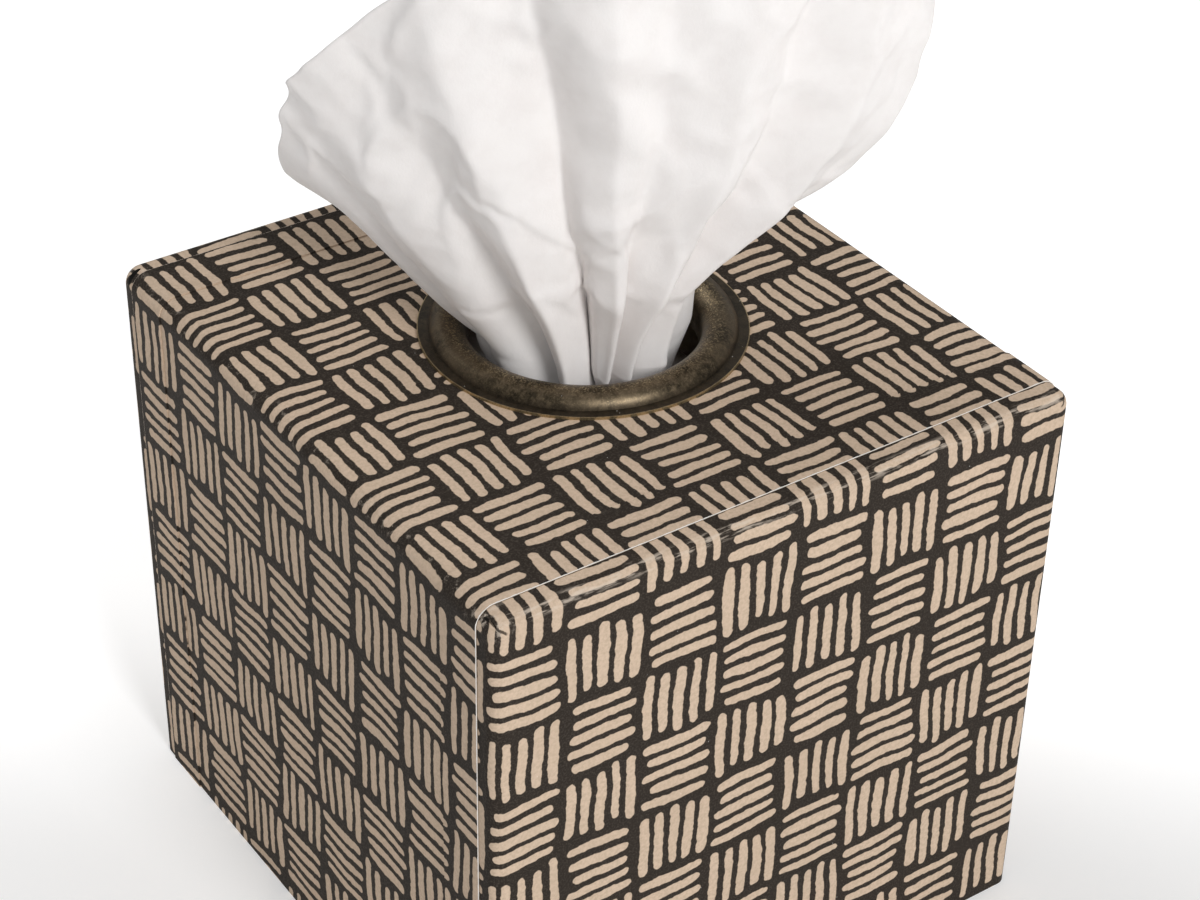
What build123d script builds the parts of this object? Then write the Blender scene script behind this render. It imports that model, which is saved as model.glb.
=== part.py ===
from build123d import *
import os
from math import acos, cos, exp, pi, radians, sin, sqrt

# Tissue box cover: a carcass of five boards, open below, covered with printed paper,
# with a brass eyelet in the top and a pack of tissues standing inside.
# Origin at the middle of the underside, +Z up, the front at -Y. Millimetres.

# Overall size over the paper
width = 136.0
depth = 143.4
height = 131.8

# Boards and paper
board = 4.0
paper = 0.3
side_radius = 3.5  # long top edges of the wrap
outline_radius = 2.4  # edges round the front and the back

# Paper cuts
setback = 5.3  # cut edge of the wrap, behind the front and the back
flap = 16.0  # how far the front and back sheets turn over
joggle = 1.5  # where the wrap steps up onto a flap
butt_gap = 0.2
turn_in = 12.0  # how far the paper runs up the inside

# Eyelet and its backing ring, pressed from sheet
eyelet_od = 67.2
eyelet_band = 9.7  # from the rim in to the hole
eyelet_crest = 3.4
eyelet_metal = 0.6
flange_width = 2.2
barrel_clearance = 0.25
barrel_lip = 1.8
washer_inset = 2.6  # from the eyelet's rim in to the washer's

# Pack of tissues, bent over in the middle
pack_side_gap = 11.4
pack_end_gap = 13.4
pack_headroom = 19.2
pack_shoulder = 34.0
pack_split = 3.0

# Tissue in the eyelet: a gathered sheet, open at the back
tissue = 0.4
tissue_gap = 0.6  # from the barrel and from the pack
tissue_peak = 102.0  # top edge above the cover at its highest
tissue_left = 36.0  # top edge towards the left end
tissue_right = 84.0  # top edge towards the right end
peak_place = 0.62  # share of the width, from the left
corner_drop = 5.0  # rounding of the sheet's two top corners
corner_reach = 0.05  # share of the width
spread_left = 60.5
spread_right = 64.5
spread_front = 27.0
right_start = 15.0  # height where the right side leaves the eyelet
spread_rise = 23.0  # height over which the front and the right side spread
tail_radius = 9.0  # gathered end on the pack
tail_shift = 5.0  # how far it lies to the right of the bore's middle
facing = 35.0  # turn of the sheet's middle from the front towards the left
wrap_angle = 100.0  # how far it reaches round on each side
pleats = 6
pleat_drift = 0.025  # unevenness of the pleats, as a share of the width
waist_pleat = 9.0
fan_pleat = 5.0
fan_unevenness = 0.4
pleat_ease = 48.0  # height over which the pleats open out
pleat_crisp = 0.85  # 0 for round folds, 1 for sharp ones
pleat_lean = 1.6  # how far the outer pleats lean outwards at the eyelet
calm_edge = 0.14  # share of the width where the pleats run out at the sides

os.makedirs("parts", exist_ok=True)

# Faces of the carcass without paper
half_x = width / 2 - 2 * paper
half_y = depth / 2 - paper
roof = height - 2 * paper
seat = roof + paper
ceiling = roof - board
inner_x = half_x - board
inner_y = half_y - board
flap_y = depth / 2 - flap
wrap_y = depth / 2 - setback

# Bore of the eyelet and size of the pack
hole = eyelet_od / 2 - eyelet_band
barrel_radius = hole + eyelet_metal
pack_width = 2 * (inner_x - pack_side_gap)
pack_depth = 2 * (inner_y - pack_end_gap)
pack_height = ceiling - pack_headroom


def u_profile(grow):
    outline = Rectangle(2 * (half_x + grow), roof + grow, align=(Align.CENTER, Align.MIN))
    shoulders = outline.vertices().group_by(Axis.Y)[-1]
    return Plane.XZ * fillet(shoulders, side_radius + grow)


def u_strip(inner, outer, y_from, y_to):
    ring = u_profile(outer) - u_profile(inner)
    return Pos(0, y_to, 0) * extrude(ring, y_to - y_from)


def envelope(grow):
    block = extrude(u_profile(grow), half_y + grow, both=True)
    ends = block.faces().sort_by(Axis.Y)
    edges = [e for end in (ends[0], ends[-1]) for e in end.edges() if e.center().Z > paper]
    return fillet(edges, outline_radius + grow)


def span(x0, x1, y0, y1, z0, z1):
    return Pos(x0, y0, z0) * Box(x1 - x0, y1 - y0, z1 - z0, align=Align.MIN)


# Boards: the front and back cover the ends, the top lies between them over the sides
core = envelope(0)
bore = Pos(0, 0, roof) * Cylinder(barrel_radius + barrel_clearance, 3 * board)
front_board = core & span(-width, width, -depth, -inner_y, paper, height)
back_board = core & span(-width, width, inner_y, depth, paper, height)
top_board = core & span(-width, width, -inner_y, inner_y, ceiling, height)
top_board -= bore
left_board = core & span(-width, -inner_x, -inner_y, inner_y, paper, ceiling)
right_board = core & span(inner_x, width, -inner_y, inner_y, paper, ceiling)

# Front and back sheets: over the outline, under the foot and up the inside
skin = envelope(paper) - core
foot = core & span(-width, width, -depth, depth, 0, paper)


def end_sheet(side):
    near, far = sorted((side * flap_y, side * depth))
    face = skin & span(-width, width, near, far, 0, height)
    near, far = sorted((side * inner_y, side * depth))
    under = foot & span(-width, width, near, far, 0, paper)
    near, far = sorted((side * inner_y, side * (inner_y - paper)))
    tuck = span(-inner_x, inner_x, near, far, 0, turn_in)
    return face + under + tuck


front_paper = end_sheet(-1)
back_paper = end_sheet(1)

# Wrap: one strip over the left side, the top and the right side, stepping onto the flaps
middle_y = flap_y - butt_gap
wrap_paper = u_strip(0, paper, -middle_y, middle_y)
wrap_paper += u_strip(paper, 2 * paper, -wrap_y, joggle - flap_y)
wrap_paper += u_strip(paper, 2 * paper, flap_y - joggle, wrap_y)
for side in (-1, 1):
    near, far = sorted((side * inner_x, side * half_x))
    wrap_paper += span(near, far, -inner_y, inner_y, 0, paper)
    near, far = sorted((side * inner_x, side * (inner_x - paper)))
    wrap_paper += span(near, far, paper - inner_y, inner_y - paper, 0, turn_in)
wrap_paper -= bore

# Eyelet: flat rim, hollow dome rolled into the barrel, lip turned out under the washer
dome = eyelet_od / 2 - flange_width
dome_run = dome - hole
dome_rise = eyelet_crest - eyelet_metal
roll = dome_run + dome_rise - sqrt(2 * dome_run * dome_rise)  # one arc from the barrel to the rim
rim_top = seat + eyelet_metal
lip_top = ceiling - eyelet_metal
lip_end = barrel_radius + barrel_lip
with BuildPart() as eyelet:
    with BuildSketch(Plane.XZ):
        with BuildLine():
            over = TangentArc((hole, seat + eyelet_crest - roll), (dome, rim_top), tangent=(0, 1))
            Polyline(over @ 1, (eyelet_od / 2, rim_top), (eyelet_od / 2, seat), (dome - eyelet_metal, seat),
                     (hole + roll, seat + dome_rise), (barrel_radius, seat), (barrel_radius, lip_top),
                     (lip_end, lip_top), (lip_end, lip_top - eyelet_metal), (hole, lip_top - eyelet_metal),
                     over @ 0)
        make_face()
    revolve(axis=Axis.Z)
eyelet_ring = eyelet.part

# Washer: a flat ring round the barrel, held up against the top board by the lip
washer = Circle(eyelet_od / 2 - washer_inset) - Circle(barrel_radius + barrel_clearance)
eyelet_washer = Pos(0, 0, lip_top) * extrude(washer, eyelet_metal)

# Pack: a thick stack bent over, with the slit between its two legs open below
leg = (pack_width - pack_split) / 2
stack = Rectangle(pack_width, pack_height, align=(Align.CENTER, Align.MIN))
stack = fillet(stack.vertices().group_by(Axis.Y)[-1], pack_shoulder)
slit = Rectangle(pack_split, pack_height - leg, align=(Align.CENTER, Align.MIN))
slit = fillet(slit.vertices().group_by(Axis.Y)[-1], 0.45 * pack_split)
tissue_pack = extrude(Plane.XZ * (stack - slit), pack_depth / 2, both=True)

# Tissue: every row is a pleated arc, tight in the barrel and spread out above it
waist = hole - tissue_gap - tissue
tail_end = pack_height + tissue_gap - seat
left_start = eyelet_crest - 2 * tissue_gap  # the left side bends out over the eyelet


def flare(rise, start, scale, power):
    return 1 - exp(-((max(rise - start, 0) / scale) ** power))


def top_edge(across):
    if across < peak_place:
        drop = (tissue_peak - tissue_left) * (1 - across / peak_place) ** 1.8
    else:
        drop = (tissue_peak - tissue_right) * ((across - peak_place) / (1 - peak_place)) ** 2
    return tissue_peak - drop - corner_drop * exp(-min(across, 1 - across) / corner_reach)


def pleat_phase(across):
    return 2 * pi * pleats * (across + pleat_drift * sin(3 * pi * across))


def pleat_depth(across, opening, climb):
    size = waist_pleat + (fan_pleat - waist_pleat) * opening
    size *= 1 + fan_unevenness * opening * sin(5.3 * pi * across + 1)
    size *= 1 - climb**0.7 * exp(-((min(across, 1 - across) / calm_edge) ** 2))
    soft = (0.5 - 0.5 * cos(pleat_phase(across))) ** 1.2
    sharp = acos(cos(pleat_phase(across))) / pi
    return size * (soft + (sharp - soft) * pleat_crisp)


def tissue_point(across, rise):
    turn = radians(wrap_angle * (2 * across - 1))
    sink = max(-rise, 0) / -tail_end
    climb = max(rise, 0) / top_edge(across)
    opening = flare(rise, 0, pleat_ease, 1.15)
    neck = waist + (tail_radius - waist) * sink
    lift = max(rise - left_start, 0) / (top_edge(across) - left_start)
    left = (spread_left - waist) * lift**0.9
    right = (spread_right - waist) * flare(rise, right_start, spread_rise, 1.4)
    ahead = (spread_front - waist) * flare(rise, 0, spread_rise, 1.4)
    sideways = left + (right - left) * max(sin(turn), 0) ** 1.5
    fold = pleat_depth(across, opening, climb) * neck / waist
    slant = pleat_lean * (2 * across - 1) * cos(pleat_phase(across)) * (1 - opening) * (1 - sink)
    x = (neck + sideways - fold) * sin(turn) + slant * cos(turn) + tail_shift * sink
    y = slant * sin(turn) - (neck + ahead - fold) * cos(turn)
    return Vector(x, y, seat + rise).rotate(Axis.Z, -facing)


def tissue_normal(across, rise):
    step = 0.001
    sideways = tissue_point(across + step, rise) - tissue_point(across - step, rise)
    upwards = tissue_point(across, rise + step) - tissue_point(across, rise - step)
    return sideways.cross(upwards).normalized()


def column_place(turns):  # share of the width where so many pleats are passed
    across = turns / pleats
    for _ in range(12):
        across = turns / pleats - pleat_drift * sin(3 * pi * across)
    return across


tail_rows = 3
fan_rows = 9
facets = 8  # flat facets across one pleat
columns = [column_place(i / facets) for i in range(facets * pleats + 1)]
face_side = []
rear_side = []
for i in range(tail_rows + fan_rows + 1):
    climb = max(i - tail_rows, 0) / fan_rows
    sink = max(tail_rows - i, 0) / tail_rows
    rises = [tail_end * sink + top_edge(c) * climb**1.4 for c in columns]
    rear_side.append([tissue_point(c, r) for c, r in zip(columns, rises)])
    face_side.append([tissue_point(c, r) + tissue * tissue_normal(c, r) for c, r in zip(columns, rises)])


def strip(low, high):
    cells = zip(low, low[1:], high[1:], high)
    return [corners for a, b, c, d in cells for corners in ((a, b, c), (a, c, d))]


sheet = strip(rear_side[0], face_side[0]) + strip(face_side[-1], rear_side[-1])
sheet += strip([row[0] for row in face_side], [row[0] for row in rear_side])
sheet += strip([row[-1] for row in rear_side], [row[-1] for row in face_side])
for low, high in zip(face_side, face_side[1:]):
    sheet += strip(low, high)
for low, high in zip(rear_side, rear_side[1:]):
    sheet += [corners[::-1] for corners in strip(low, high)]
popup_tissue = Solid(Shell([Face(Wire.make_polygon(corners)) for corners in sheet]))

nodes = {
    "front_board": front_board,
    "back_board": back_board,
    "top_board": top_board,
    "left_board": left_board,
    "right_board": right_board,
    "front_paper": front_paper,
    "back_paper": back_paper,
    "wrap_paper": wrap_paper,
    "eyelet_ring": eyelet_ring,
    "eyelet_washer": eyelet_washer,
    "tissue_pack": tissue_pack,
    "popup_tissue": popup_tissue,
}
for name, node in nodes.items():
    export_step(node, f"parts/{name}.step")
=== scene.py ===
from math import cos, pi, radians, sin, sqrt

import bpy
import numpy as np
from mathutils import Matrix, Vector, noise


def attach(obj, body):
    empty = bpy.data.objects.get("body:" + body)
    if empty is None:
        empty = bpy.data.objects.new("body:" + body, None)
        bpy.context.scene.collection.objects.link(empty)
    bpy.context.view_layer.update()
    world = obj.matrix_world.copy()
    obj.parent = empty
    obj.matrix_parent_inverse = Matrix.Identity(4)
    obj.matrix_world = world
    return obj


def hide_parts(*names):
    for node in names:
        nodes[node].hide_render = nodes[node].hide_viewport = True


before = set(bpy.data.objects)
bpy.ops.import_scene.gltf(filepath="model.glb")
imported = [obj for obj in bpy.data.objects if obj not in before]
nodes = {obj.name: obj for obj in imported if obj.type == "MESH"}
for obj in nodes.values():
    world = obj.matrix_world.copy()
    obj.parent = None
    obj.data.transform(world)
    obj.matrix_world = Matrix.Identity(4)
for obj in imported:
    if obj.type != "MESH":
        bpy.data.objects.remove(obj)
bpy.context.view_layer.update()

scene = bpy.context.scene
print("frame loaded,", len(nodes), "nodes")


# helpers for shader trees
def freshMaterial(name):
    mat = bpy.data.materials.new(name)
    mat.use_nodes = True
    tree = mat.node_tree
    tree.nodes.clear()
    out = tree.nodes.new("ShaderNodeOutputMaterial")
    shader = tree.nodes.new("ShaderNodeBsdfPrincipled")
    tree.links.new(shader.outputs[0], out.inputs[0])
    return mat, tree, shader


def plug(tree, value, socket):
    if isinstance(value, bpy.types.NodeSocket):
        tree.links.new(value, socket)
    else:
        socket.default_value = value


def calc(tree, operation, *values):
    node = tree.nodes.new("ShaderNodeMath")
    node.operation = operation
    for value, socket in zip(values, node.inputs):
        plug(tree, value, socket)
    return node.outputs[0]


def ramp(tree, value, low, high, outLow=0.0, outHigh=1.0):  # smooth step between low and high
    node = tree.nodes.new("ShaderNodeMapRange")
    node.interpolation_type = "SMOOTHSTEP"
    for entry, socket in zip((value, low, high, outLow, outHigh), node.inputs):
        plug(tree, entry, socket)
    return node.outputs[0]


def blend(tree, share, first, second):
    node = tree.nodes.new("ShaderNodeMix")
    node.data_type = "RGBA"
    plug(tree, share, node.inputs[0])
    for value, socket in ((first, node.inputs[6]), (second, node.inputs[7])):
        plug(tree, value if isinstance(value, bpy.types.NodeSocket) else (*value, 1), socket)
    return node.outputs[2]


def grain(tree, place, scale, detail=2.0, rough=0.5):  # noise: value and colour
    node = tree.nodes.new("ShaderNodeTexNoise")
    plug(tree, place, node.inputs["Vector"])
    node.inputs["Scale"].default_value = scale
    node.inputs["Detail"].default_value = detail
    node.inputs["Roughness"].default_value = rough
    return node.outputs[0], node.outputs[1]


def parts(tree, vector):
    node = tree.nodes.new("ShaderNodeSeparateXYZ")
    plug(tree, vector, node.inputs[0])
    return node.outputs


def join(tree, x, y, z):
    node = tree.nodes.new("ShaderNodeCombineXYZ")
    for value, socket in zip((x, y, z), node.inputs):
        plug(tree, value, socket)
    return node.outputs[0]


def placeInMm(tree):
    coord = tree.nodes.new("ShaderNodeTexCoord")
    scale = tree.nodes.new("ShaderNodeVectorMath")
    scale.operation = "SCALE"
    tree.links.new(coord.outputs["Object"], scale.inputs[0])
    scale.inputs["Scale"].default_value = 1000
    return scale.outputs[0]


def relief(tree, shader, height, distance, strength):
    bump = tree.nodes.new("ShaderNodeBump")
    bump.inputs["Strength"].default_value = strength
    bump.inputs["Distance"].default_value = distance
    tree.links.new(height, bump.inputs["Height"])
    tree.links.new(bump.outputs[0], shader.inputs["Normal"])


def distance(tree, first, second):  # root of the sum of the squares
    squares = [calc(tree, "MULTIPLY", value, value) for value in (first, second)]
    return calc(tree, "SQRT", calc(tree, "ADD", *squares))


def dustSpecks(tree, place, spec):
    cells = tree.nodes.new("ShaderNodeTexVoronoi")
    plug(tree, place, cells.inputs["Vector"])
    cells.inputs["Scale"].default_value = spec["scale"]
    keep = calc(tree, "GREATER_THAN", parts(tree, cells.outputs["Color"])[0], spec["bare"])
    return calc(tree, "MULTIPLY", calc(tree, "LESS_THAN", cells.outputs["Distance"], spec["size"]), keep)


# printed paper: blocks of hand-cut strokes, turned from block to block
weavePrint = {
    "block": 17.6,  # mm
    "strokes": 5,  # in one block
    "halfWidth": 1.08,
    "ends": 0.55,  # least distance of a stroke's end from the block's edge
    "endPlay": 1.9,
    "wobble": 1.3,
    "nibble": 0.42,  # fine unevenness of the cut
    "broadScale": 0.07,  # noise behind the wobble
    "fineScale": 0.55,  # noise behind the nibble
    "taper": 0.16,  # how much a stroke narrows to its ends
    "fatPlay": 0.34,
    "softEdge": 0.11,
}


def makePrintGroup(spec):
    tree = bpy.data.node_groups.new("weavePrint", "ShaderNodeTree")
    for name in ("Across", "Along"):
        tree.interface.new_socket(name, in_out="INPUT", socket_type="NodeSocketFloat")
    tree.interface.new_socket("Ink", in_out="OUTPUT", socket_type="NodeSocketFloat")
    source = tree.nodes.new("NodeGroupInput").outputs
    result = tree.nodes.new("NodeGroupOutput").inputs
    flatPlace = join(tree, source[0], source[1], 0.0)
    broad = parts(tree, grain(tree, flatPlace, spec["broadScale"], 1.0)[1])
    fine = parts(tree, grain(tree, flatPlace, spec["fineScale"], 2.0)[1])
    moved = []
    for axis in (0, 1):
        shift = calc(tree, "MULTIPLY", calc(tree, "SUBTRACT", broad[axis], 0.5), spec["wobble"] * 2)
        nibble = calc(tree, "MULTIPLY", calc(tree, "SUBTRACT", fine[axis], 0.5), spec["nibble"] * 2)
        moved.append(calc(tree, "ADD", calc(tree, "ADD", source[axis], shift), nibble))
    cells = [calc(tree, "DIVIDE", value, spec["block"]) for value in moved]
    column, row = (calc(tree, "FLOOR", value) for value in cells)
    inColumn, inRow = (calc(tree, "FRACT", value) for value in cells)
    turned = calc(tree, "FLOORED_MODULO", calc(tree, "ADD", column, row), 2.0)
    step = calc(tree, "SUBTRACT", inRow, inColumn)
    along = calc(tree, "MULTIPLY_ADD", turned, step, inColumn)
    stack = calc(tree, "SUBTRACT", calc(tree, "ADD", inRow, inColumn), along)
    lines = calc(tree, "MULTIPLY", stack, float(spec["strokes"]))
    lineNumber = calc(tree, "FLOOR", lines)
    dice = tree.nodes.new("ShaderNodeTexWhiteNoise")
    tree.links.new(join(tree, column, row, lineNumber), dice.inputs["Vector"])
    luck = parts(tree, dice.outputs["Color"])
    pitch = spec["block"] / spec["strokes"]
    aside = calc(tree, "MULTIPLY", calc(tree, "SUBTRACT", calc(tree, "FRACT", lines), 0.5), pitch)
    run = calc(tree, "MULTIPLY", calc(tree, "SUBTRACT", along, 0.5), spec["block"])
    reach = spec["block"] / 2 - spec["ends"]
    start = calc(tree, "MULTIPLY_ADD", luck[0], spec["endPlay"], -reach)
    stop = calc(tree, "MULTIPLY_ADD", luck[1], -spec["endPlay"], reach)
    middle = calc(tree, "MULTIPLY", calc(tree, "ADD", start, stop), 0.5)
    fromMiddle = calc(tree, "SUBTRACT", run, middle)
    half = calc(tree, "MULTIPLY", calc(tree, "SUBTRACT", stop, start), 0.5)
    share = calc(tree, "DIVIDE", fromMiddle, half)
    taper = calc(tree, "MULTIPLY_ADD", calc(tree, "MULTIPLY", share, share), -spec["taper"], 1.0)
    fat = calc(tree, "MULTIPLY_ADD", luck[2], spec["fatPlay"], spec["halfWidth"] - spec["fatPlay"] / 2)
    wide = calc(tree, "MULTIPLY", fat, taper)
    straight = calc(tree, "SUBTRACT", half, wide)
    beyond = calc(tree, "MAXIMUM", calc(tree, "SUBTRACT", calc(tree, "ABSOLUTE", fromMiddle), straight), 0.0)
    outside = calc(tree, "SUBTRACT", distance(tree, beyond, aside), wide)
    tree.links.new(ramp(tree, outside, -spec["softEdge"], spec["softEdge"]), result[0])
    return tree


printGroup = makePrintGroup(weavePrint)

paperLook = {
    "kraft": (0.63, 0.487, 0.366),
    "kraftDark": (0.51, 0.392, 0.288),
    "ink": (0.0115, 0.0092, 0.0078),
    "inkPale": (0.046, 0.038, 0.032),
    # painted shade: near-black for the corner creases, the mitre hole and the cut edge's shadow line
    "paintedShade": (0.006, 0.005, 0.004),
    "core": (0.86, 0.84, 0.81),
    "worn": (0.66, 0.56, 0.46),
    "roundOver": 4.1,  # mm, outside of the wrap's long edges
    "halfWidth": 68.0,
    "top": 131.8,
    "halfDepth": 71.7,
    "thickness": 0.3,
    "foldLine": 2.7,  # round of the front's and the back's outline
    "turnedEdge": 1.6,  # this close to the outline the paper is turned over
    "printShift": 4.3,  # the wrap's print against the middle
    "rubbedCorner": {"out": (61.0, 66.5), "up": (126.0, 130.5)},
    "cutEdge": 66.4,  # where the wrap ends, from the middle
    "cutDepth": 0.03,
    "fray": 0.16,
    "coreLevel": (0.09, 0.17),  # heights in the thickness of the cut edge
    # painted shadow line: heights in the cut edge where it is darkened
    "shadowLineLevel": (0.12, 0.04),
    "coreAtBack": 0.25,  # how pale the cut edge is at the back
    "dust": {"scale": 0.33, "size": 0.03, "bare": 0.72},
}

# where shade is painted at the corners: crease lines in front, the mitre hole at the back left
cornerFolds = {
    "up": 130.4,  # mm, point on the slope across a corner
    "out": 66.6,
    "bend": 1.2,
    "creaseLine": (0.34, 0.12),
    "creaseOut": (64.4, 65.0),
    "creaseUp": (128.2, 128.8),
    "creaseFront": -67.2,  # creases show in front of it
    "creaseStrength": 0.85,
    "mitrePlace": 68.3,
    "mitreWidth": 0.62,
    "mitreLength": 2.1,
    "mitreSide": -60.0,
    "mitreUp": 125.0,
}


def paintedFoldShade(tree, x, y, z, absX, uneven, spec):  # painted shade: dark crease lines on the front corners, dark hole of the open mitre at the back left corner
    slope = calc(tree, "MULTIPLY", calc(tree, "ADD", calc(tree, "SUBTRACT", z, spec["up"]),
                                        calc(tree, "SUBTRACT", spec["out"], absX)), sqrt(0.5))
    bent = calc(tree, "ADD", slope, calc(tree, "MULTIPLY_ADD", uneven, spec["bend"], -spec["bend"] / 2))
    crease = ramp(tree, calc(tree, "ABSOLUTE", bent), *spec["creaseLine"])
    crease = calc(tree, "MULTIPLY", crease, ramp(tree, absX, *spec["creaseOut"]))
    crease = calc(tree, "MULTIPLY", crease, ramp(tree, z, *spec["creaseUp"]))
    crease = calc(tree, "MULTIPLY", crease, calc(tree, "LESS_THAN", y, spec["creaseFront"]))
    crosswise = calc(tree, "DIVIDE", calc(tree, "SUBTRACT", y, spec["mitrePlace"]), spec["mitreWidth"])
    lengthways = calc(tree, "DIVIDE", slope, spec["mitreLength"])
    mitreShade = calc(tree, "LESS_THAN", distance(tree, crosswise, lengthways), 1.0)
    mitreShade = calc(tree, "MULTIPLY", mitreShade, calc(tree, "LESS_THAN", x, spec["mitreSide"]))
    mitreShade = calc(tree, "MULTIPLY", mitreShade, calc(tree, "GREATER_THAN", z, spec["mitreUp"]))
    return calc(tree, "MAXIMUM", calc(tree, "MULTIPLY", crease, spec["creaseStrength"]), mitreShade)


def makePaper(name, wrapped, spec):
    mat, tree, shader = freshMaterial(name)
    place = placeInMm(tree)
    x, y, z = parts(tree, place)
    side = calc(tree, "SIGN", x)
    absX = calc(tree, "ABSOLUTE", x)
    absY = calc(tree, "ABSOLUTE", y)
    if wrapped:  # unrolled over the long edges
        bendX = spec["halfWidth"] - spec["roundOver"]
        bendZ = spec["top"] - spec["roundOver"]
        overX = calc(tree, "MAXIMUM", calc(tree, "SUBTRACT", absX, bendX), 0.0)
        overZ = calc(tree, "MAXIMUM", calc(tree, "SUBTRACT", z, bendZ), 0.0)
        arc = calc(tree, "MULTIPLY", calc(tree, "ARCTAN2", overX, overZ), spec["roundOver"])
        down = calc(tree, "MAXIMUM", calc(tree, "SUBTRACT", bendZ, z), 0.0)
        run = calc(tree, "ADD", calc(tree, "ADD", calc(tree, "MINIMUM", absX, bendX), arc), down)
        across = calc(tree, "MULTIPLY", run, side)
        along = calc(tree, "ADD", y, spec["printShift"])
    else:
        turnedOver = calc(tree, "SUBTRACT", spec["halfDepth"], absY)
        overSide = calc(tree, "GREATER_THAN", absX, spec["halfWidth"] - spec["turnedEdge"])
        overTop = calc(tree, "GREATER_THAN", z, spec["top"] - spec["turnedEdge"])
        across = calc(tree, "MULTIPLY_ADD", calc(tree, "MULTIPLY", turnedOver, overSide), side, x)
        along = calc(tree, "ADD", z, calc(tree, "MULTIPLY", turnedOver, overTop))
    group = tree.nodes.new("ShaderNodeGroup")
    group.node_tree = printGroup
    tree.links.new(across, group.inputs["Across"])
    tree.links.new(along, group.inputs["Along"])
    ink = group.outputs["Ink"]
    fibre = grain(tree, place, 1.3, 4.0, 0.7)[0]
    cloud = grain(tree, place, 0.045, 2.0)[0]
    pores = grain(tree, place, 2.4, 2.0, 0.6)[0]
    kraft = blend(tree, ramp(tree, fibre, 0.34, 0.70), spec["kraft"], spec["kraftDark"])
    kraft = blend(tree, ramp(tree, cloud, 0.42, 0.72, 0.0, 0.35), kraft, spec["kraftDark"])
    black = blend(tree, ramp(tree, pores, 0.42, 0.75), spec["ink"], spec["inkPale"])
    colour = blend(tree, calc(tree, "MULTIPLY", ink, 0.97), kraft, black)
    # rubbed edges and corners
    rubNoise = grain(tree, place, 0.5, 4.0, 0.7)[0]
    if wrapped:
        rub = calc(tree, "MULTIPLY",
                   ramp(tree, absX, spec["halfWidth"] - 4.2, spec["halfWidth"] - 0.6),
                   ramp(tree, z, spec["top"] - 4.4, spec["top"] - 0.8))
        rub = calc(tree, "MULTIPLY", rub, ramp(tree, rubNoise, 0.55, 0.72, 0.0, 0.55))
    else:
        streak = grain(tree, join(tree, calc(tree, "MULTIPLY", x, 0.16), y, z), 1.1, 3.0, 0.6)[0]
        lip = calc(tree, "SUBTRACT", z, spec["top"] - spec["foldLine"] - 0.3)
        rub = calc(tree, "MULTIPLY", ramp(tree, lip, 0.3, 1.6), ramp(tree, turnedOver, 2.6, 1.2))
        rub = calc(tree, "MULTIPLY", rub, ramp(tree, streak, 0.48, 0.64, 0.0, 0.62))
        rubbed = spec["rubbedCorner"]
        corner = calc(tree, "MULTIPLY", ramp(tree, absX, *rubbed["out"]), ramp(tree, z, *rubbed["up"]))
        corner = calc(tree, "MULTIPLY", corner, ramp(tree, rubNoise, 0.50, 0.64, 0.0, 0.7))
        rub = calc(tree, "MAXIMUM", rub, corner)
    colour = blend(tree, rub, colour, spec["worn"])
    if not wrapped:
        # painted shade in the corner creases and in the open mitre hole
        colour = blend(tree, paintedFoldShade(tree, x, y, z, absX, rubNoise, cornerFolds), colour, spec["paintedShade"])
    dust = dustSpecks(tree, place, spec["dust"])
    colour = blend(tree, calc(tree, "MULTIPLY", dust, 0.6), colour, spec["core"])
    if wrapped:  # pale core of the cut edge, painted shadow line below it
        fray = ramp(tree, rubNoise, 0.40, 0.75, 0.0, spec["fray"])
        cut = calc(tree, "GREATER_THAN", calc(tree, "ADD", absY, fray), spec["cutEdge"] - spec["cutDepth"])
        level = calc(tree, "SUBTRACT", distance(tree, overX, overZ), spec["roundOver"] - spec["thickness"])
        atBack = spec["coreAtBack"]
        pale = calc(tree, "MULTIPLY_ADD", calc(tree, "LESS_THAN", y, 0.0), 1 - atBack, atBack)
        pale = calc(tree, "MULTIPLY", ramp(tree, level, *spec["coreLevel"]), pale)
        colour = blend(tree, cut, colour, blend(tree, pale, spec["kraftDark"], spec["core"]))
        # painted shadow line along the cut edge, under the pale core, where the step casts shade
        shadowLine = calc(tree, "MULTIPLY", cut, ramp(tree, level, *spec["shadowLineLevel"]))
        colour = blend(tree, calc(tree, "MULTIPLY", shadowLine, 0.8), colour, spec["paintedShade"])
    tree.links.new(colour, shader.inputs["Base Color"])
    rough = calc(tree, "MULTIPLY_ADD", ink, -0.12, 0.74)
    tree.links.new(rough, shader.inputs["Roughness"])
    shader.inputs["Specular IOR Level"].default_value = 0.06
    height = calc(tree, "ADD", calc(tree, "MULTIPLY", fibre, 0.6), calc(tree, "MULTIPLY", ink, 0.25))
    relief(tree, shader, height, 0.00012, 0.35)
    return mat


wrapMat = makePaper("printed wrap", True, paperLook)
endMat = makePaper("printed ends", False, paperLook)
print("printed paper ready")


# plain board, seen from below
boardLook = {"pale": (0.40, 0.33, 0.26), "dark": (0.30, 0.24, 0.18)}


def makeBoard(spec):
    mat, tree, shader = freshMaterial("grey board")
    place = placeInMm(tree)
    fibre = grain(tree, place, 0.7, 5.0, 0.7)[0]
    tree.links.new(blend(tree, ramp(tree, fibre, 0.35, 0.7), spec["pale"], spec["dark"]),
                   shader.inputs["Base Color"])
    shader.inputs["Roughness"].default_value = 0.9
    relief(tree, shader, fibre, 0.0002, 0.4)
    return mat


boardMat = makeBoard(boardLook)


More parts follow.
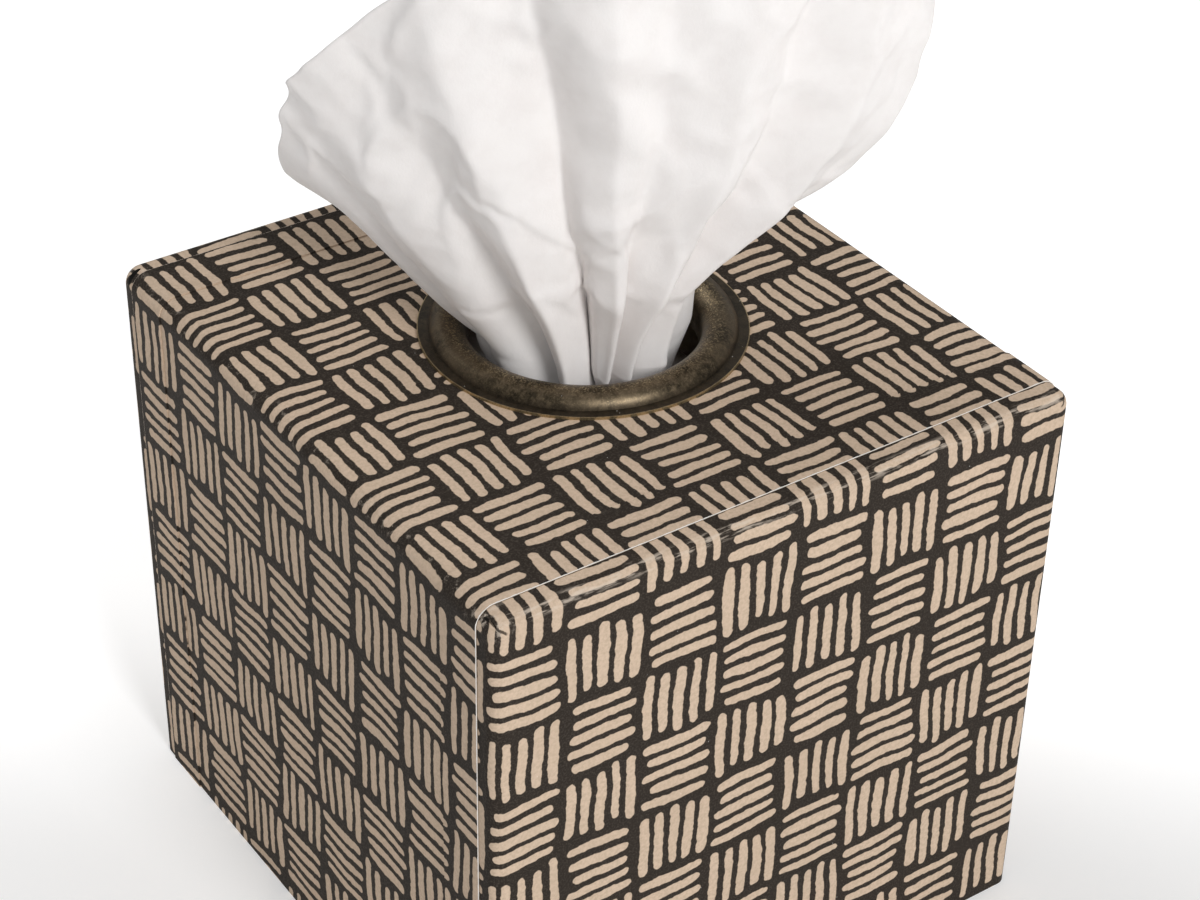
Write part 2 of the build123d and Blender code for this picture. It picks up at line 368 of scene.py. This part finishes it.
# antique brass of the eyelet
brassLook = {
    "patina": (0.042, 0.033, 0.021),
    "bronze": (0.165, 0.125, 0.08),
    "gold": (0.52, 0.40, 0.23),
    "dark": (0.030, 0.025, 0.019),  # in the groove and on the flat rim
    "speck": (0.8, 0.77, 0.72),
    "rim": 33.6,  # mm, outer edge
    "crest": 26.6,  # radius of the highest line
    "crestFade": (0.5, 3.2),
    "dust": {"scale": 0.5, "size": 0.05, "bare": 0.80},
}


def makeBrass(spec):
    mat, tree, shader = freshMaterial("antique brass")
    place = placeInMm(tree)
    radius = distance(tree, *parts(tree, place)[:2])
    mottle = grain(tree, place, 0.55, 5.0, 0.72)[0]
    fine = grain(tree, place, 2.6, 3.0, 0.6)[0]
    cloud = grain(tree, place, 0.11, 2.0)[0]
    body = blend(tree, ramp(tree, mottle, 0.36, 0.70), spec["patina"], spec["bronze"])
    body = blend(tree, ramp(tree, cloud, 0.40, 0.66, 0.0, 0.5), body, spec["bronze"])
    fromCrest = calc(tree, "ABSOLUTE", calc(tree, "SUBTRACT", radius, spec["crest"]))
    crest = ramp(tree, fromCrest, *spec["crestFade"], 1.0, 0.0)
    worn = calc(tree, "MULTIPLY", ramp(tree, fine, 0.48, 0.68), calc(tree, "MULTIPLY_ADD", crest, 0.55, 0.14))
    body = blend(tree, worn, body, spec["gold"])
    rimShade = ramp(tree, radius, spec["rim"] - 3.0, spec["rim"] - 2.0, 0.0, 0.62)
    body = blend(tree, rimShade, body, spec["dark"])
    brightRim = ramp(tree, radius, spec["rim"] - 0.28, spec["rim"] - 0.06)
    brightRim = calc(tree, "MULTIPLY", brightRim, ramp(tree, fine, 0.25, 0.6, 0.35, 0.95))
    body = blend(tree, brightRim, body, spec["gold"])
    dust = dustSpecks(tree, place, spec["dust"])
    body = blend(tree, calc(tree, "MULTIPLY", dust, 0.8), body, spec["speck"])
    tree.links.new(body, shader.inputs["Base Color"])
    tree.links.new(calc(tree, "MULTIPLY_ADD", dust, -0.9, 0.9), shader.inputs["Metallic"])
    tree.links.new(ramp(tree, mottle, 0.3, 0.75, 0.36, 0.52), shader.inputs["Roughness"])
    relief(tree, shader, mottle, 0.00008, 0.25)
    return mat


brassMat = makeBrass(brassLook)
print("board and brass ready")


# tissue: soft white paper with a fine crepe
tissueLook = {"white": (0.885, 0.852, 0.836), "shade": (0.84, 0.80, 0.782)}


def makeTissueMat(spec):
    mat, tree, shader = freshMaterial("white tissue")
    place = placeInMm(tree)
    cloud = grain(tree, place, 0.12, 3.0, 0.6)[0]
    crepe = grain(tree, place, 1.5, 3.0, 0.7)[0]
    tree.links.new(blend(tree, ramp(tree, cloud, 0.35, 0.75), spec["white"], spec["shade"]),
                   shader.inputs["Base Color"])
    shader.inputs["Roughness"].default_value = 0.95
    shader.inputs["Specular IOR Level"].default_value = 0.1
    shader.inputs["Subsurface Weight"].default_value = 0.25
    shader.inputs["Subsurface Radius"].default_value = (0.004, 0.004, 0.004)
    shader.inputs["Subsurface Scale"].default_value = 1.0
    relief(tree, shader, crepe, 0.00025, 0.22)
    return mat


tissueMat = makeTissueMat(tissueLook)


def dress(name, mat):
    slots = nodes[name].material_slots
    if len(slots):
        for entry in slots:
            entry.material = mat
    else:
        nodes[name].data.materials.append(mat)


for name in ("front_board", "back_board", "top_board", "left_board", "right_board"):
    dress(name, boardMat)
for name in ("front_paper", "back_paper"):
    dress(name, endMat)
dress("wrap_paper", wrapMat)
dress("eyelet_ring", brassMat)
dress("eyelet_washer", brassMat)


# drawn-out tissue: gathered in the eyelet, fanned out above it
tissueSheet = {
    "columns": 124,
    "rows": 88,
    "seat": 131.5,  # mm
    "tailEnd": -22.9,
    "tailShare": 0.22,  # rows below the eyelet for each row above it
    "tailRadius": 9.0,
    "tailShift": 5.0,
    "waist": 22.9,
    "peak": 102.0,
    "leftTop": 36.0,
    "rightTop": 84.0,
    "peakPlace": 0.62,  # from left to right
    "corner": 5.0,  # rounding of the sheet's two corners
    "cornerReach": 0.05,
    "spreadLeft": 60.5,
    "spreadRight": 64.5,
    "spreadFront": 27.0,
    "leftStart": 2.2,  # height at which a side begins to spread
    "rightStart": 17.0,
    "rightReach": 20.0,
    "frontReach": 23.0,
    "facing": 35.0,
    "wrapAngle": 100.0,
    "bunch": (0.1, -0.65, -0.1, 0.65),  # powers of the place, draws the pleats together at the front
    "gatherReach": 42.0,  # height over which the bunched pleats spread out
    "pleats": 6,
    "drift": 0.025,
    "waistPleat": 9.0,
    "fanPleat": 5.0,
    "pleatPlay": 0.4,
    "pleatEase": 48.0,
    "pinch": 0.5,  # how far the pleats close at the eyelet
    "lean": 2.6,
    "overlap": 3.0,  # fold that lies over its neighbour
    "overlapPlace": 0.58,
    "overlapWidth": 0.08,
    "leftCalm": 0.88,  # how smooth the left side lies against the eyelet
    "leftHug": 0.7,  # how long it stays close to the barrel below
    "calmEdge": 0.14,
    "crisp": 0.85,  # 0 for round folds, 1 for sharp ones
    "small": 1.2,  # folds between the pleats, near the eyelet
    "smallPlace": 4.0,
    "smallReach": 22.0,
    "soft": {"size": 26.0, "push": 2.2},  # soft unevenness
    "creased": {"size": 25.0, "fineSize": 10.0, "fineShare": 0.3, "level": 0.35, "push": 6.5},
    "thickness": 0.22,
    "frames": 45,
    "seed": 3,  # for the offsets of the vector noise
}


def flare(rise, start, scale, power):
    return 1 - np.exp(-((np.maximum(rise - start, 0) / scale) ** power))


def topEdge(across, spec):
    place = spec["peakPlace"]
    low = (spec["peak"] - spec["leftTop"]) * np.maximum(1 - across / place, 0) ** 1.8
    high = (spec["peak"] - spec["rightTop"]) * (np.maximum(across - place, 0) / (1 - place)) ** 2
    edge = np.minimum(across, 1 - across)
    rounding = spec["corner"] * np.exp(-edge / spec["cornerReach"])
    return spec["peak"] - np.where(across < place, low, high) - rounding


def bell(value, middle, width):
    return np.exp(-(((value - middle) / width) ** 2))


def tissuePlace(across, rise, spec):
    side = 2 * across - 1
    above = np.maximum(rise, 0)
    sink = np.maximum(-rise, 0) / -spec["tailEnd"]
    climb = above / topEdge(across, spec)
    gather = np.exp(-((above / spec["gatherReach"]) ** 1.3))
    bunch = np.polynomial.Polynomial(spec["bunch"])
    turn = np.radians(spec["wrapAngle"] * (side + bunch(side) * gather))
    hug = 1 + spec["leftHug"] * np.maximum(-side, 0)
    neck = spec["waist"] + (spec["tailRadius"] - spec["waist"]) * sink**hug
    # the fan's reach to the left, to the right and forwards
    lift = np.maximum(rise - spec["leftStart"], 0) / (topEdge(across, spec) - spec["leftStart"])
    left = (spec["spreadLeft"] - spec["waist"]) * lift**0.9
    rightStart = spec["rightStart"] * np.clip(1.5 * side, 0, 1)
    right = (spec["spreadRight"] - spec["waist"]) * flare(rise, rightStart, spec["rightReach"], 1.4)
    ahead = (spec["spreadFront"] - spec["waist"]) * flare(rise, 0, spec["frontReach"], 1.4)
    sideways = left + (right - left) * np.maximum(np.sin(turn), 0) ** 1.5
    # depth of the pleats
    phase = 2 * pi * spec["pleats"] * (across + spec["drift"] * np.sin(3 * pi * across))
    opened = flare(rise, 0, spec["pleatEase"], 1.15)
    size = spec["waistPleat"] + (spec["fanPleat"] - spec["waistPleat"]) * opened
    size *= 1 + spec["pleatPlay"] * opened * np.sin(5.3 * pi * across + 1)
    calm = np.where(side < 0, np.maximum(climb**0.7, spec["leftCalm"]), climb**0.7)
    size *= 1 - calm * bell(np.minimum(across, 1 - across), 0, spec["calmEdge"])
    rounded = (0.5 - 0.5 * np.cos(phase)) ** 1.2
    sharp = np.arccos(np.cos(phase)) / pi
    fold = size * (rounded + (sharp - rounded) * spec["crisp"])
    between = 0.5 - 0.5 * np.cos(2.5 * phase + 1)
    fold += spec["small"] * between * bell(rise, spec["smallPlace"], spec["smallReach"])
    fold *= neck / spec["waist"]
    # sideways lean of the pleats
    pitch = neck * np.radians(2 * spec["wrapAngle"]) / spec["pleats"]
    pitch = pitch * (1 + bunch.deriv()(side) * gather)
    slant = spec["pinch"] * pitch / (2 * pi) * np.sin(phase) * (1 - opened)
    slant += spec["lean"] * side * np.cos(phase) * (1 - opened) * (1 - sink)
    near = bell(across, spec["overlapPlace"], spec["overlapWidth"])
    slant += spec["overlap"] * np.cos(phase) * near * climb**0.3 * (1 - 0.7 * opened)
    x = (neck + sideways - fold) * np.sin(turn) + slant * np.cos(turn) + spec["tailShift"] * sink
    y = -(neck + ahead - fold) * np.cos(turn) + slant * np.sin(turn)
    back = radians(-spec["facing"])
    return np.stack((x * np.cos(back) - y * np.sin(back), x * np.sin(back) + y * np.cos(back),
                     spec["seat"] + rise), -1)


def gridMesh(name, places):
    rows, columns = places.shape[:2]
    index = np.arange(rows * columns).reshape(rows, columns)
    quads = np.stack((index[:-1, :-1], index[:-1, 1:], index[1:, 1:], index[1:, :-1]), -1).reshape(-1, 4)
    mesh = bpy.data.meshes.new(name)
    mesh.from_pydata((places.reshape(-1, 3) / 1000).tolist(), [], quads.tolist())
    mesh.polygons.foreach_set("use_smooth", [True] * len(mesh.polygons))
    return mesh


def applyModifiers(obj):
    bpy.context.view_layer.update()
    finished = bpy.data.meshes.new_from_object(obj.evaluated_get(bpy.context.evaluated_depsgraph_get()))
    obj.modifiers.clear()
    obj.data = finished


def makeTissue(spec):
    across = np.linspace(0, 1, spec["columns"] + 1)[None, :]
    level = np.linspace(-spec["tailShare"], 1, spec["rows"] + 1)[:, None]
    climb = np.maximum(level, 0)
    sink = np.maximum(-level, 0) / spec["tailShare"]
    rise = spec["tailEnd"] * sink + topEdge(across, spec) * climb**1.3
    across = across + 0 * rise
    places = tissuePlace(across, rise, spec)
    edge = np.minimum(across, 1 - across)
    loose = climb**0.8 * (1 - 0.75 * bell(edge, 0, 0.06))
    soft, creased = spec["soft"], spec["creased"]
    noise.seed_set(spec["seed"])
    for point, free in zip(places.reshape(-1, 3), loose.reshape(-1)):
        spot = Vector(point)
        push = noise.noise_vector(spot / soft["size"]) * soft["push"] * free
        crease = creased["level"] - abs(noise.noise(spot / creased["size"] + Vector((5, 1, 2))))
        fine = creased["level"] - abs(noise.noise(spot / creased["fineSize"] + Vector((3, 7, 1))))
        crease += creased["fineShare"] * fine
        push += Vector((point[0], point[1], 0)).normalized() * crease * creased["push"] * free
        point += np.array(push)
    obj = bpy.data.objects.new("drawn_tissue", gridMesh("drawn_tissue", places))
    scene.collection.objects.link(obj)
    hold = 0.1 + 0.8 * bell(edge, 0, 0.04) + 0.5 * bell(level, 1, 0.05)  # pins: side edges, top edge
    hold = np.maximum(hold, 1.02 * bell(climb, 0, 0.17))  # and the gathered foot
    hold = np.clip(hold + 0 * rise, 0.02, 1).reshape(-1)
    group = obj.vertex_groups.new(name="held")
    for number, weight in enumerate(hold):
        group.add([number], float(weight), "REPLACE")
    cloth = obj.modifiers.new("settle", "CLOTH")
    settings = cloth.settings
    settings.quality = 6
    settings.mass = 0.1
    settings.tension_stiffness = 25
    settings.compression_stiffness = 25
    settings.shear_stiffness = 15
    settings.bending_stiffness = 0.6
    settings.air_damping = 3
    settings.vertex_group_mass = "held"
    settings.pin_stiffness = 1.0
    settings.shrink_min = -0.008
    settings.effector_weights.gravity = 0.02
    cloth.collision_settings.use_collision = False
    cloth.collision_settings.use_self_collision = False
    cloth.point_cache.frame_start = 1
    cloth.point_cache.frame_end = spec["frames"]
    for number in range(1, spec["frames"] + 1):
        scene.frame_set(number)
    applyModifiers(obj)
    obj.vertex_groups.clear()
    scene.frame_set(1)
    smooth = obj.modifiers.new("smooth", "SUBSURF")
    smooth.levels = smooth.render_levels = 1
    thick = obj.modifiers.new("thick", "SOLIDIFY")
    thick.thickness = spec["thickness"] / 1000
    thick.offset = 0
    applyModifiers(obj)
    obj.data.materials.append(tissueMat)
    return obj


tissue = makeTissue(tissueSheet)
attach(tissue, "root")
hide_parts("popup_tissue")
print("tissue settled,", len(tissue.data.polygons), "faces")


# pack of folded tissues, bent over, one layer inside the next
packStack = {
    "layers": 38,
    "halfWidth": 52.0,  # mm
    "height": 108.0,
    "depth": 108.0,
    "shoulder": 34.0,
    "split": 1.5,
    "innerHeight": 57.5,
    "layerThickness": 0.95,
    "shortest": 0.975,  # share of the depth, layers end unevenly
    "seed": 7,
    "cornerSteps": 10,
}


def makePack(spec):
    corner = np.linspace(0, pi / 2, spec["cornerSteps"])
    wide = spec["shoulder"] / spec["halfWidth"]
    tall = spec["shoulder"] / spec["height"]
    right = np.stack((1 - wide + wide * np.cos(corner), 1 - tall + tall * np.sin(corner)), -1)
    outline = [(1.0, 0.0)] + right.tolist()
    outline += [(-x, z) for x, z in reversed(outline)]
    mesh = bpy.data.meshes.new("bent_layer")
    mesh.from_pydata([(x, 0, z) for x, z in outline], [(i, i + 1) for i in range(len(outline) - 1)], [])
    obj = bpy.data.objects.new("folded_pack", mesh)
    scene.collection.objects.link(obj)
    tree = bpy.data.node_groups.new("nestedLayers", "GeometryNodeTree")
    face = tree.interface
    face.new_socket("Geometry", in_out="INPUT", socket_type="NodeSocketGeometry")
    face.new_socket("Layers", in_out="INPUT", socket_type="NodeSocketInt")
    for name in ("Half Width", "Height", "Depth", "Inner Half", "Inner Height"):
        face.new_socket(name, in_out="INPUT", socket_type="NodeSocketFloat")
    face.new_socket("Geometry", in_out="OUTPUT", socket_type="NodeSocketGeometry")
    source = tree.nodes.new("NodeGroupInput").outputs
    result = tree.nodes.new("NodeGroupOutput").inputs
    extrude = tree.nodes.new("GeometryNodeExtrudeMesh")
    extrude.mode = "EDGES"
    tree.links.new(source["Geometry"], extrude.inputs["Mesh"])
    tree.links.new(join(tree, 0.0, source["Depth"], 0.0), extrude.inputs["Offset"])
    middle = tree.nodes.new("GeometryNodeTransform")
    tree.links.new(extrude.outputs["Mesh"], middle.inputs["Geometry"])
    half = calc(tree, "MULTIPLY", source["Depth"], -0.5)
    tree.links.new(join(tree, 0.0, half, 0.0), middle.inputs["Translation"])
    points = tree.nodes.new("GeometryNodePoints")
    tree.links.new(source["Layers"], points.inputs["Count"])
    index = tree.nodes.new("GeometryNodeInputIndex")
    share = calc(tree, "DIVIDE", index.outputs[0], calc(tree, "SUBTRACT", source["Layers"], 1.0))
    wideNow, tallNow = (
        calc(tree, "MULTIPLY_ADD", share, calc(tree, "SUBTRACT", source[outer], source[inner]), source[inner])
        for outer, inner in (("Half Width", "Inner Half"), ("Height", "Inner Height")))
    jitter = tree.nodes.new("FunctionNodeRandomValue")
    jitter.data_type = "FLOAT"
    jitter.inputs[2].default_value = spec["shortest"]
    jitter.inputs[3].default_value = 1.0
    jitter.inputs["Seed"].default_value = spec["seed"]
    copies = tree.nodes.new("GeometryNodeInstanceOnPoints")
    tree.links.new(points.outputs[0], copies.inputs["Points"])
    tree.links.new(middle.outputs[0], copies.inputs["Instance"])
    tree.links.new(join(tree, wideNow, jitter.outputs[1], tallNow), copies.inputs["Scale"])
    real = tree.nodes.new("GeometryNodeRealizeInstances")
    tree.links.new(copies.outputs[0], real.inputs[0])
    coat = tree.nodes.new("GeometryNodeSetMaterial")
    coat.inputs["Material"].default_value = tissueMat
    tree.links.new(real.outputs[0], coat.inputs[0])
    tree.links.new(coat.outputs[0], result[0])
    layers = obj.modifiers.new("layers", "NODES")
    layers.node_group = tree
    values = {
        "Layers": spec["layers"],
        "Half Width": spec["halfWidth"] / 1000,
        "Height": spec["height"] / 1000,
        "Depth": spec["depth"] / 1000,
        "Inner Half": (spec["split"] + spec["layerThickness"]) / 1000,
        "Inner Height": (spec["innerHeight"] + spec["layerThickness"]) / 1000,
    }
    for item in face.items_tree:
        if item.in_out == "INPUT" and item.name in values:
            layers[item.identifier] = values[item.name]
    thick = obj.modifiers.new("thick", "SOLIDIFY")
    thick.thickness = spec["layerThickness"] / 1000
    thick.offset = -1
    applyModifiers(obj)
    return obj


pack = makePack(packStack)
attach(pack, "root")
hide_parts("tissue_pack")
print("pack folded,", len(pack.data.polygons), "faces")


# floor, light and camera
stageSetup = {
    "floorHalf": 2.2,  # metres
    "floor": (0.95, 0.95, 0.95),
    "floorGlow": 0.10,  # painted glow near the camera, kept low as a painted soft shade
    "farGlow": 0.55,
    "glowTurn": 35.0,  # degrees, the way in which the glow rises
    "glowReach": (-32.0, 88.0),  # mm
    "skyStrength": 0.33,
    "key": {"place": (-0.10, -1.18, 0.98), "size": 0.5, "power": 13.2},
    "back": {"place": (-0.25, 0.9, 1.1), "size": 0.7, "power": 4.0},
}


def makeFloor(spec):
    mat, tree, shader = freshMaterial("pale floor")
    shader.inputs["Base Color"].default_value = (*spec["floor"], 1)
    shader.inputs["Roughness"].default_value = 0.9
    shader.inputs["Emission Color"].default_value = (1, 1, 1, 1)
    place = parts(tree, placeInMm(tree))
    heading = radians(spec["glowTurn"])
    away = calc(tree, "MULTIPLY_ADD", place[0], sin(heading), calc(tree, "MULTIPLY", place[1], cos(heading)))
    # painted light: the floor glows though it is no lamp. The glow is weakest towards the camera, a painted
    # soft shade, and strongest towards the back, where it brightens the key light's shadow
    glow = ramp(tree, away, *spec["glowReach"], spec["floorGlow"], spec["farGlow"])
    tree.links.new(glow, shader.inputs["Emission Strength"])
    half = spec["floorHalf"]
    mesh = bpy.data.meshes.new("floor")
    corners = [(-half, -half, 0), (half, -half, 0), (half, half, 0), (-half, half, 0)]
    mesh.from_pydata(corners, [], [(0, 1, 2, 3)])
    mesh.materials.append(mat)
    floor = bpy.data.objects.new("floor", mesh)
    scene.collection.objects.link(floor)
    return floor


def makeLight(name, spec):
    data = bpy.data.lights.new(name, "AREA")
    data.shape = "DISK"
    data.size = spec["size"]
    data.energy = spec["power"]
    lamp = bpy.data.objects.new(name, data)
    lamp.location = spec["place"]
    lamp.rotation_euler = (Vector((0, 0, 0.1)) - lamp.location).to_track_quat("-Z", "Y").to_euler()
    scene.collection.objects.link(lamp)


makeFloor(stageSetup)
makeLight("key light", stageSetup["key"])
makeLight("back light", stageSetup["back"])
world = bpy.data.worlds.new("studio")
world.use_nodes = True
sky = world.node_tree.nodes["Background"]
sky.inputs[0].default_value = (1, 1, 1, 1)
sky.inputs[1].default_value = stageSetup["skyStrength"]
scene.world = world
scene.view_settings.view_transform = "Standard"

cameraView = {
    "place": (-0.27012, -0.39059, 0.43517),  # metres
    "aside": 35.131,  # degrees
    "down": 35.139,
    "roll": 1.17,
    "lens": 83.67,
}
cameraData = bpy.data.cameras.new("camera")
cameraData.lens = cameraView["lens"]
cameraData.sensor_width = 36
cameraData.clip_start = 0.01
camera = bpy.data.objects.new("camera", cameraData)
turn = Matrix.Rotation(radians(-cameraView["aside"]), 4, "Z") @ Matrix.Rotation(
    radians(90 - cameraView["down"]), 4, "X") @ Matrix.Rotation(radians(cameraView["roll"]), 4, "Z")
camera.matrix_world = Matrix.Translation(cameraView["place"]) @ turn
scene.collection.objects.link(camera)
scene.camera = camera
print("stage set")
